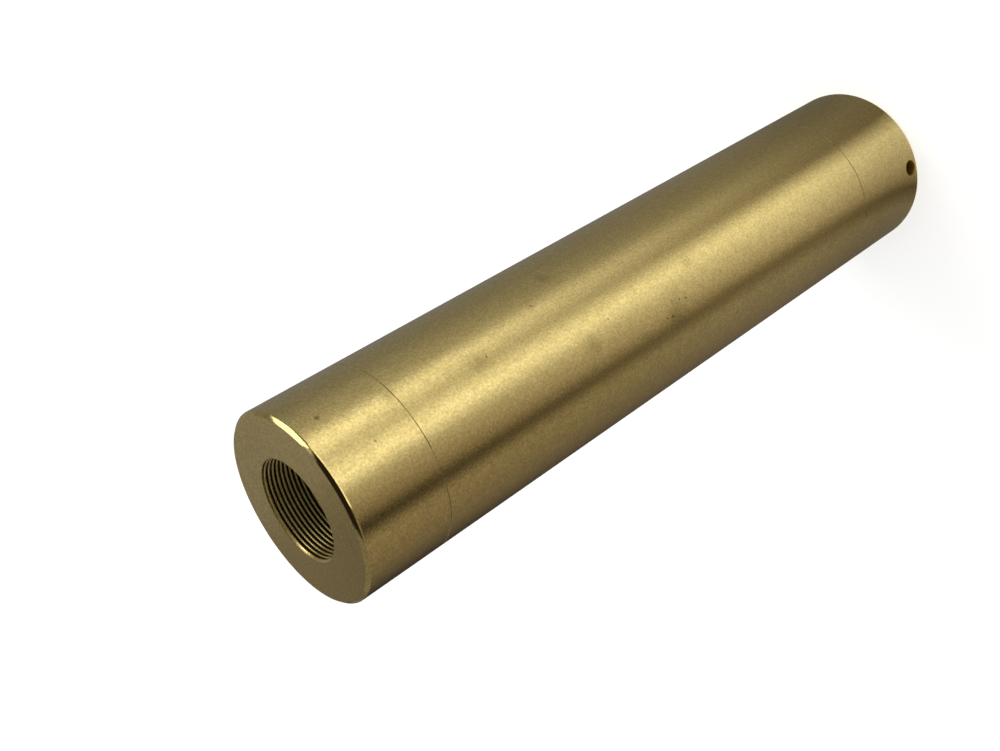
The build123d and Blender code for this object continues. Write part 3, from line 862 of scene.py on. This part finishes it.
class POINTER_OT_tail_button(bpy.types.Operator):
    """Turns the dished tail button"""

    bl_idname = "pointer.tail_button"
    bl_label = "Tail button"

    def execute(self, context):
        body, inside = context.scene.pointer_body, context.scene.pointer_inside
        head, low, high = inside.button_radius, BUTTON_LOW.z, BUTTON_HIGH.z
        flange = high - inside.flange_thickness
        piece = turned("tail_button_dished", [
            *dome(head - inside.button_rim, inside.button_dish, low + inside.button_dish, 12),
            (head - inside.button_edge, low), (head, low + inside.button_edge), (head, flange),
            (BUTTON_HIGH.x, flange), (BUTTON_HIGH.x, high), (0, high)], body.lathe_steps // 2)
        soften(piece, body.edge_softness)
        finish_piece(piece, "button", "inner_brass", "Machined brass", "tail_button")
        return {"FINISHED"}


class POINTER_OT_battery_cell(bpy.types.Operator):
    """Makes the cell: steel can, nub, paper washer and shrunk sleeve"""

    bl_idname = "pointer.battery_cell"
    bl_label = "Battery cell"

    def execute(self, context):
        inside, steps = context.scene.pointer_inside, context.scene.pointer_body.lathe_steps // 2
        radius, low, edge, skin = CELL_HIGH.x, CELL_LOW.z, inside.cell_edge, inside.sleeve_thickness
        high = CELL_HIGH.z - inside.nub_height
        lap, inner_edge = radius - inside.sleeve_lap, edge - skin
        sleeve = turned("cell_sleeve_shrunk", [
            (lap, low), *arc(radius - edge, low + edge, edge, -90, 0, 6),
            *arc(radius - edge, high - edge, edge, 0, 90, 6), (lap, high), (lap, high - skin),
            *arc(radius - edge, high - edge, inner_edge, 90, 0, 6),
            *arc(radius - edge, low + edge, inner_edge, 0, -90, 6), (lap, low + skin)], steps)
        finish_piece(sleeve, "tail", "cell_sleeve", "Shrunk sleeve", "battery_cell")

        can, top, dish = radius - skin, high - skin, high - inside.top_dish - skin
        dish_radius = lap - skin - inside.top_dish
        shell = turned("cell_can", [
            (0, low + skin), *arc(can - inner_edge, low + skin + inner_edge, inner_edge, -90, 0, 5),
            *arc(can - inner_edge, top - inner_edge, inner_edge, 0, 90, 5),
            (lap - skin, top), (dish_radius, dish), (0, dish)], steps)
        finish_piece(shell, "tail", "spring_steel", "Tinned steel")

        nub, nub_edge = inside.nub_radius, inside.nub_height / 2
        cap = turned("cell_nub", [
            (0, dish), (nub, dish), *arc(nub - nub_edge, CELL_HIGH.z - nub_edge, nub_edge, 0, 90, 6),
            (0, CELL_HIGH.z)], steps)
        finish_piece(cap, "tail", "spring_steel", "Tinned steel")

        washer_bore, washer_top = nub + inside.washer_gap, high - inside.top_dish
        washer = turned("cell_washer", [
            (washer_bore, dish), (dish_radius, dish), (dish_radius, washer_top),
            (washer_bore, washer_top)], steps)
        finish_piece(washer, "tail", "white_plastic", "Insulating paper")
        return {"FINISHED"}


def wound_spring(name, low, high, low_radius, high_radius, wire, working_turns):
    """A spring of round wire, wound with a closed half turn at each end."""
    steps_in_turn, closed = 40, 0.5
    bottom, top = low + wire / 2, high - wire / 2
    bpy.ops.object.select_all(action="DESELECT")
    bpy.ops.curve.primitive_nurbs_path_add()
    spring = bpy.context.object
    spring.name = name
    spring.data.splines.clear()
    count = int((working_turns + 2 * closed) * steps_in_turn) + 1
    spline = spring.data.splines.new("NURBS")
    spline.points.add(count - 1)
    for i, point in enumerate(spline.points):
        turn = i / steps_in_turn
        along = min(1.0, max(0.0, (turn - closed) / working_turns))
        radius = low_radius + (high_radius - low_radius) * along
        point.co = (radius * cos(turn * tau), radius * sin(turn * tau), bottom + (top - bottom) * along, 1)
    spline.order_u = 3
    spline.use_endpoint_u = True
    spring.data.bevel_depth = wire / 2
    spring.data.bevel_resolution = 4
    spring.data.use_fill_caps = True
    spring.data.resolution_u = 2
    pick(spring)
    bpy.ops.object.convert(target="MESH")
    return bpy.context.object


class POINTER_OT_springs(bpy.types.Operator):
    """Winds the tail spring and the lens spring"""

    bl_idname = "pointer.springs"
    bl_label = "Springs"

    def execute(self, context):
        inside = context.scene.pointer_inside
        tail = wound_spring("tail_spring_wound", TAIL_SPRING_LOW.z, TAIL_SPRING_HIGH.z, inside.tail_spring_base,
                            inside.tail_spring_top, inside.tail_wire, working_turns=2.0)
        finish_piece(tail, "tail", "spring_steel", "Drawn wire", "tail_spring")
        radius = LENS_SPRING_HIGH.x - inside.lens_wire / 2
        lens = wound_spring("lens_spring_wound", LENS_SPRING_LOW.z, LENS_SPRING_HIGH.z, radius, radius,
                            inside.lens_wire, working_turns=2.5)
        dress(lens, "spring_steel", "Drawn wire", "lens_spring")
        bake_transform(lens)
        return {"FINISHED"}


def round_bar(radius, low, high, circle, angle, vertices):
    """An upright round bar at an angle on a circle round the axis."""
    bpy.ops.object.select_all(action="DESELECT")
    bpy.ops.mesh.primitive_cylinder_add(vertices=vertices, radius=radius, depth=high - low,
                                        location=(circle * cos(angle), circle * sin(angle), (low + high) / 2))
    return bpy.context.object


def join(piece, others):
    """Joins other objects into a piece."""
    pick(piece)
    for other in others:
        other.select_set(True)
    bpy.ops.object.join()


class POINTER_OT_focusing(bpy.types.Operator):
    """Turns the focusing ring, cuts its thread, flutes and slots, and grinds the lens"""

    bl_idname = "pointer.focusing"
    bl_label = "Focusing ring and lens"

    def execute(self, context):
        inside, pitch = context.scene.pointer_inside, context.scene.pointer_threads.focus_pitch
        steps = context.scene.pointer_body.lathe_steps // 2
        head, high, low = max(RING_HIGH.x, RING_HIGH.y), RING_HIGH.z, RING_LOW.z
        shoulder, edge = high - inside.focus_head_height, inside.focus_edge
        sleeve, bore = inside.focus_sleeve_radius, inside.focus_bore_radius
        ring = turned("focus_ring_fluted", [
            (bore, low), (sleeve - edge, low), (sleeve, low + edge), (sleeve, shoulder),
            (head - edge, shoulder), (head, shoulder + edge), (head, high - edge),
            (head - edge, high), (bore + edge, high), (bore, high - edge)], steps)
        cut_thread(ring, sleeve, pitch, low - pitch, shoulder - pitch, outwards=False)
        angles = [tau * i / inside.flutes for i in range(inside.flutes)]
        flutes = [round_bar(inside.flute_radius, shoulder - edge, high + edge, head, angle, vertices=32)
                  for angle in angles]
        join(flutes[-1], flutes[:-1])
        bpy.ops.object.transform_apply()
        cut(ring, flutes[-1])
        bpy.ops.object.select_all(action="DESELECT")
        bpy.ops.mesh.primitive_cube_add(size=1, location=(0, 0, high),
                                        scale=(3 * head, inside.slot_width, 2 * inside.slot_depth))
        slots = bpy.context.object
        bpy.ops.object.transform_apply()
        cut(ring, slots)
        finish_piece(ring, "focusing", "inner_brass", "Machined brass", "focus_ring")

        rim, low, high = LENS_HIGH.x, LENS_LOW.z, LENS_HIGH.z
        seat = low + inside.lens_edge
        lens = turned("lens_ground", [(0, low), (rim, low), (rim, seat),
                                      *reversed(dome(inside.lens_aperture, high - seat, high, 16))], steps)
        finish_piece(lens, "lens_carriage", "lens_glass", "Coated glass", "lens")
        return {"FINISHED"}


class POINTER_OT_laser_diode(bpy.types.Operator):
    """Presses the diode's can, with its window and pins"""

    bl_idname = "pointer.laser_diode"
    bl_label = "Laser diode"

    def execute(self, context):
        inside, steps = context.scene.pointer_inside, context.scene.pointer_body.lathe_steps // 2
        high, shoulder = DIODE_HIGH.z, DIODE_HIGH.z - inside.can_height
        seat, pane = shoulder - inside.flange_height, high - inside.window_depth
        can, window, flange, corner = inside.can_radius, inside.window_radius, DIODE_HIGH.x, inside.can_corner
        piece = turned("laser_diode_canned", [
            (0, seat), (flange, seat), (flange, shoulder), (can, shoulder),
            *arc(can - corner, high - corner, corner, 0, 90, 5),
            (window, high), (window, pane), (0, pane)], steps)
        pins = []
        for angle in (0, 90, 180):
            pins.append(round_bar(inside.pin_radius, DIODE_LOW.z, seat, inside.pin_circle, radians(angle),
                                  vertices=24))
            bpy.ops.object.transform_apply()
        join(piece, pins)
        finish_piece(piece, "barrel", "diode_metal", "Gold plating", "laser_diode")

        glass = turned("diode_window", [(0, pane), (window, pane), (window, pane + inside.window_thickness),
                                        (0, pane + inside.window_thickness)], steps)
        finish_piece(glass, "barrel", "black_plastic", "Dark window")
        return {"FINISHED"}


# The low card's shades near the body and far from it: direction from the camera's side in degrees, towards
# the hole, then brightness, and warmth from blue below 0 to umber above it
CARD_NEAR = (
    (-180, 1.4, 0), (-174, 0.20, -0.2), (-120, 0.21, 0.1), (-84, 0.21, 0.2), (-60, 0.255, 0.2),
    (-31, 0.22, 0.45), (-9, 1.03, 0.05), (6, 0.89, 0.05), (22, 0.67, 0.15), (40, 0.44, 0.3),
    (55, 0.15, 0.75), (74, 0.28, 0.25), (150, 0.115, 0.7), (180, 0.085, 0.6),
)
CARD_FAR = (
    (-180, 1.4, 0), (-174, 0.20, -0.2), (-104, 0.235, -0.1), (-80, 0.40, 0.05), (-64, 0.52, 0.1),
    (-50, 1.48, 0), (-28, 0.66, 0.15), (-6, 1.40, 0), (12, 0.37, 0.3), (40, 0.215, 0.75), (50, 0.0, 1),
    (55, 0.015, 1.4), (68, 0.31, 0.5), (110, 0.20, 0.5), (150, 0.04, 0.5), (180, 0.06, 0.4),
)

# The near shades hold up to the first of these distances from the foot of the axis, and the far ones from
# the second on
CARD_NEAR_END, CARD_FAR_START = 30 * MM, 185 * MM

# The card is dimmed to this level up to the first distance, and not at all from the second on
FOOT_START, FOOT_END, FOOT_LEVEL = 16 * MM, 34 * MM, 0.70

# How far the point that the directions are measured from lies from the axis, towards the camera
CARD_CENTRE_AHEAD = 3.4 * MM

# Cards in the sky: middle direction, half width, lowest and highest elevation in degrees, distance in metres,
# brightness and warmth
SKY_CARDS = {
    "tent": (0, 180, 0.1, 89.9, 1.2, 0.23, 0.2),
    "overhead_card": (9, 70, 45, 86, 1.0, 0.02, 1),
    "edge_card": (-12, 38, 1, 43, 1.1, 1.3, 0),
    "rim_card": (-70.5, 9.5, 44, 66, 1.05, 0.5, 0),
    "face_card_bright": (-160, 20, 5, 45, 1.05, 0.28, 0.15),
    "face_card_dim": (160, 20, 5, 45, 1.05, 0.16, 0.3),
}


def shade(level, warmth):
    """The colour of a card, from its brightness and its warmth."""
    green_taken, blue_taken = 0.28, 0.5
    return (level, level * (1 - green_taken * max(warmth, 0)), level * (1 - blue_taken * warmth), 1)


def card_ramp(tree, way_round, shades):
    """A card's shade by the direction of a place, from 0 to 1 round the axis."""
    ramp = add_node(tree, "ShaderNodeValToRGB", {"Fac": way_round})
    elements = ramp.color_ramp.elements
    while len(elements) < len(shades):
        elements.new(0.5)
    for element, (angle, level, warmth) in zip(elements, shades):
        element.position = (angle + 180) / 360
        element.color = shade(level, warmth)
    return ramp.outputs["Color"]


def cleared(owner):
    """The emptied node tree of a new material or world."""
    owner.use_nodes = True
    owner.node_tree.nodes.clear()
    return owner.node_tree


def seen_directly(tree):
    """1 where the camera, a reflection or a look through glass meets it, and 0 where it only lights."""
    path = add_node(tree, "ShaderNodeLightPath").outputs
    seen = maths(tree, "MAXIMUM", path["Is Camera Ray"], path["Is Glossy Ray"])
    return maths(tree, "MAXIMUM", seen, path["Is Transmission Ray"])


def show_to_metal_only(card, material, colour, strength=1.0):
    """Makes a card glow for reflections alone."""
    glow = add_node(material.node_tree, "ShaderNodeEmission", {"Color": colour, "Strength": strength})
    add_node(material.node_tree, "ShaderNodeOutputMaterial", {"Surface": glow.outputs[0]})
    card.data.materials.append(material)
    card.visible_camera = card.visible_diffuse = card.visible_shadow = False
    card.visible_transmission = card.visible_volume_scatter = False


class POINTER_OT_stage(bpy.types.Operator):
    """Sets up the floor, the soft light, the cards that the metal reflects, and the camera"""

    bl_idname = "pointer.stage"
    bl_label = "Stage"

    def execute(self, context):
        stage = context.scene.pointer_stage
        context.scene.view_settings.view_transform = "Standard"
        self.light(context.scene, stage)
        self.floor()
        self.low_card(stage)
        for name, card in SKY_CARDS.items():
            self.sky_card(name, stage, *card)
        self.camera(context.scene, stage)
        return {"FINISHED"}

    def light(self, scene, stage):
        """An even world, and one softbox high on the left."""
        scene.world = bpy.data.worlds.new("Soft light")
        tree = cleared(scene.world)
        strength = remap(tree, seen_directly(tree), 0.0, 1.0, stage.fill, 1.0)
        sky = add_node(tree, "ShaderNodeBackground", {"Color": (1, 1, 1, 1), "Strength": strength})
        add_node(tree, "ShaderNodeOutputWorld", {"Surface": sky.outputs[0]})

        away, size, left_of_camera, tilt = 0.6, 0.5, radians(96), radians(45)
        towards = stage.camera_azimuth + left_of_camera
        bpy.ops.object.select_all(action="DESELECT")
        bpy.ops.object.light_add(type="AREA", rotation=(tilt, 0, towards),
                                 location=(away * sin(towards), -away * cos(towards), away))
        box = bpy.context.object
        box.name = "softbox"
        box.data.shape = "SQUARE"
        box.data.size = size
        box.data.energy = stage.key

    def floor(self):
        """A plain pale floor that shows white and keeps a soft shadow."""
        bpy.ops.object.select_all(action="DESELECT")
        bpy.ops.mesh.primitive_circle_add(vertices=96, radius=8, fill_type="NGON")
        floor = bpy.context.object
        floor.name = "floor"
        material = bpy.data.materials.new("Pale floor")
        tree = cleared(material)
        lit = add_node(tree, "ShaderNodeBsdfDiffuse", {"Color": (0.6, 0.6, 0.6, 1)}).outputs[0]
        glow = add_node(tree, "ShaderNodeEmission", {"Color": (1, 1, 1, 1), "Strength": 0.55}).outputs[0]
        white = add_node(tree, "ShaderNodeAddShader", {0: lit, 1: glow}).outputs[0]
        plain = add_node(tree, "ShaderNodeBsdfDiffuse", {"Color": (0.85, 0.85, 0.85, 1)}).outputs[0]
        both = add_node(tree, "ShaderNodeMixShader", {0: seen_directly(tree), 1: plain, 2: white}).outputs[0]
        add_node(tree, "ShaderNodeOutputMaterial", {"Surface": both})
        floor.data.materials.append(material)

    def low_card(self, stage):
        """A shaded ring on the floor, which gives the body its light and dark bands."""
        inner, outer, top = TAIL_HIGH.x + 0.05 * MM, 1.15, 0.3 * MM
        bottom = 0.9 * top
        card = turned("low_card", [(inner, top), (outer, top), (outer, bottom), (inner, bottom)], steps=96)
        material = bpy.data.materials.new("Shaded card")
        tree = cleared(material)
        place = object_place(tree)
        camera_side = Matrix.Rotation(radians(90) - stage.camera_azimuth, 3, "Z")
        turn = add_node(tree, "ShaderNodeMapping", {"Vector": place, "Rotation": camera_side.to_euler()})
        axes = axes_of(tree, turn.outputs[0])
        towards_hole = maths(tree, "MULTIPLY", axes["Y"], -1.0)
        ahead = maths(tree, "SUBTRACT", axes["X"], CARD_CENTRE_AHEAD)
        way_round = remap(tree, maths(tree, "ARCTAN2", towards_hole, ahead), -pi, pi, 0.0, 1.0)
        away = distance(tree, place)
        far = remap(tree, away, CARD_NEAR_END, CARD_FAR_START, 0.0, 1.0)
        colour = blend(tree, far, card_ramp(tree, way_round, CARD_NEAR), card_ramp(tree, way_round, CARD_FAR))
        foot = remap(tree, away, FOOT_START, FOOT_END, FOOT_LEVEL, 1.0)
        show_to_metal_only(card, material, colour, foot)

    def sky_card(self, name, stage, middle, half_width, lowest, highest, away, level, warmth):
        """A curved card that stands in the sky."""
        thickness = 0.01
        card = turned(name, arc(0, 0, away, lowest, highest, 12)
                      + arc(0, 0, away - thickness, highest, lowest, 12),
                      steps=36, angle=radians(2 * half_width))
        # The spin operator turns clockwise, which is towards the hole
        card.rotation_euler = (0, 0, -pi / 2 + stage.camera_azimuth - radians(middle - half_width))
        bpy.ops.object.transform_apply()
        material = bpy.data.materials.new(name)
        cleared(material)
        show_to_metal_only(card, material, shade(level, warmth))

    def camera(self, scene, stage):
        """The photograph's camera, looking down on the standing pointer."""
        azimuth, away = stage.camera_azimuth, stage.camera_distance
        bpy.ops.object.select_all(action="DESELECT")
        bpy.ops.object.camera_add(location=(away * sin(azimuth), -away * cos(azimuth), stage.camera_height))
        camera = bpy.context.object
        turn = (Matrix.Rotation(stage.camera_heading, 4, "Z")
                @ Matrix.Rotation(radians(90) - stage.camera_pitch, 4, "X")
                @ Matrix.Rotation(stage.camera_roll, 4, "Z"))
        camera.rotation_euler = turn.to_euler()
        camera.data.lens = stage.lens
        camera.data.sensor_width = 36
        camera.data.clip_start = 0.01
        camera.data.clip_end = 50
        scene.camera = camera


class POINTER_PT_pieces(bpy.types.Panel):
    """The pointer's sizes, finishes and pieces"""

    bl_label = "Laser pointer"
    bl_space_type = "VIEW_3D"
    bl_region_type = "UI"
    bl_category = "Pointer"

    def draw(self, context):
        layout = self.layout
        for operator in OPERATORS:
            layout.operator(operator.bl_idname)
        for group, name in GROUPS.items():
            layout.label(text=group.__doc__)
            values = getattr(context.scene, name)
            for value in group.__annotations__:
                layout.prop(values, value)


GROUPS = {
    PointerBody: "pointer_body",
    PointerThreads: "pointer_threads",
    PointerInside: "pointer_inside",
    PointerFinish: "pointer_finish",
    PointerStage: "pointer_stage",
}
OPERATORS = (
    POINTER_OT_finishes,
    POINTER_OT_front_cap,
    POINTER_OT_battery_tube,
    POINTER_OT_tail_cap,
    POINTER_OT_tail_button,
    POINTER_OT_battery_cell,
    POINTER_OT_springs,
    POINTER_OT_focusing,
    POINTER_OT_laser_diode,
    POINTER_OT_stage,
)
CLASSES = (*GROUPS, *OPERATORS, POINTER_PT_pieces)


def register():
    """Adds the add-on's classes and its values on the scene."""
    for entry in CLASSES:
        bpy.utils.register_class(entry)
    for group, name in GROUPS.items():
        setattr(bpy.types.Scene, name, PointerProperty(type=group))


def unregister():
    """Takes them away again."""
    for name in GROUPS.values():
        delattr(bpy.types.Scene, name)
    for entry in reversed(CLASSES):
        bpy.utils.unregister_class(entry)


def main():
    """Builds every piece and the stage."""
    register()
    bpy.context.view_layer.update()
    bpy.ops.pointer.finishes()
    bpy.ops.pointer.front_cap()
    bpy.ops.pointer.battery_tube()
    bpy.ops.pointer.tail_cap()
    bpy.ops.pointer.tail_button()
    bpy.ops.pointer.battery_cell()
    bpy.ops.pointer.springs()
    bpy.ops.pointer.focusing()
    bpy.ops.pointer.laser_diode()
    bpy.ops.pointer.stage()


if __name__ == "__main__":
    main()
